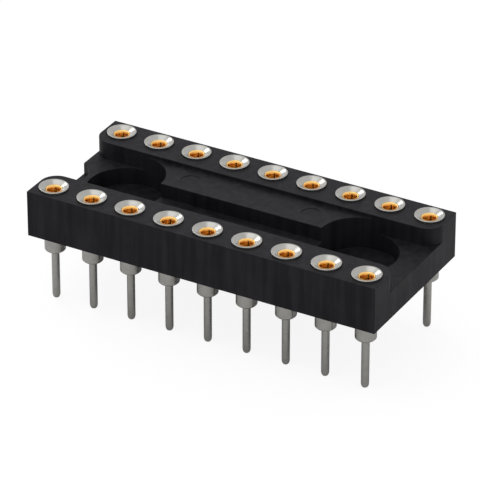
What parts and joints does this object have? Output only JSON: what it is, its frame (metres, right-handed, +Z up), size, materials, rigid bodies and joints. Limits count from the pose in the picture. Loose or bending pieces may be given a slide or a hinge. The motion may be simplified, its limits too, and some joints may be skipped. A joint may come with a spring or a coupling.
{
  "type": "ic socket",
  "caption": "Dual-in-line IC socket: black open-frame insulator with rows of turned contacts, each with a funnel mouth, gold spring clip and round solder tail.",
  "frame": {"origin": "middle of the contact field in plan, on the plane of the tail tips", "axes": "+Z up out of the board, +X along the rows away from the notched end, -Y towards the row of contact 1"},
  "size_m": [0.0226, 0.0098, 0.0074],
  "materials": {
    "insulator": "matte",
    "sleeve": "satin",
    "clip": "gloss"
  },
  "bodies": {
    "root": {"insulator": "insulator", "sleeve_01": "sleeve", "sleeve_02": "sleeve", "sleeve_03": "sleeve", "sleeve_04": "sleeve", "sleeve_05": "sleeve", "sleeve_06": "sleeve", "sleeve_07": "sleeve", "sleeve_08": "sleeve", "sleeve_09": "sleeve", "sleeve_10": "sleeve", "sleeve_11": "sleeve", "sleeve_12": "sleeve", "sleeve_13": "sleeve", "sleeve_14": "sleeve", "sleeve_15": "sleeve", "sleeve_16": "sleeve", "sleeve_17": "sleeve", "sleeve_18": "sleeve", "clip_01": "clip", "clip_02": "clip", "clip_03": "clip", "clip_04": "clip", "clip_05": "clip", "clip_06": "clip", "clip_07": "clip", "clip_08": "clip", "clip_09": "clip", "clip_10": "clip", "clip_11": "clip", "clip_12": "clip", "clip_13": "clip", "clip_14": "clip", "clip_15": "clip", "clip_16": "clip", "clip_17": "clip", "clip_18": "clip"}
  },
  "joints": []
}
